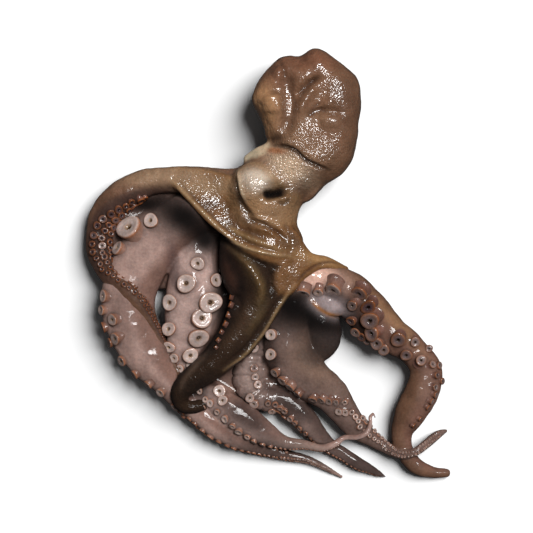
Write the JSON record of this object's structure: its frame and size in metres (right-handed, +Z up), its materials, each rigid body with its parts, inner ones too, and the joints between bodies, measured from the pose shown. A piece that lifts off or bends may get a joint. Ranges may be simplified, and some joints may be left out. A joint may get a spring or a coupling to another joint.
{
  "type": "octopus",
  "caption": "Whole raw octopus lying on its underside: folded bag mantle and head at one end, suckered arms fanned and curled from the web; food prop for kitchens and fish counters",
  "frame": {"origin": "on the resting surface, under the middle of the octopus's bounding box", "axes": "+Z up from the resting surface; +Y from the arm tips towards the mantle; +X to the right seen from above with the mantle up"},
  "size_m": [0.3671, 0.4311, 0.057],
  "materials": {
    "skin": "wet, glossy, soft skin"
  },
  "bodies": {
    "root": {"octopus": "skin"}
  },
  "joints": []
}
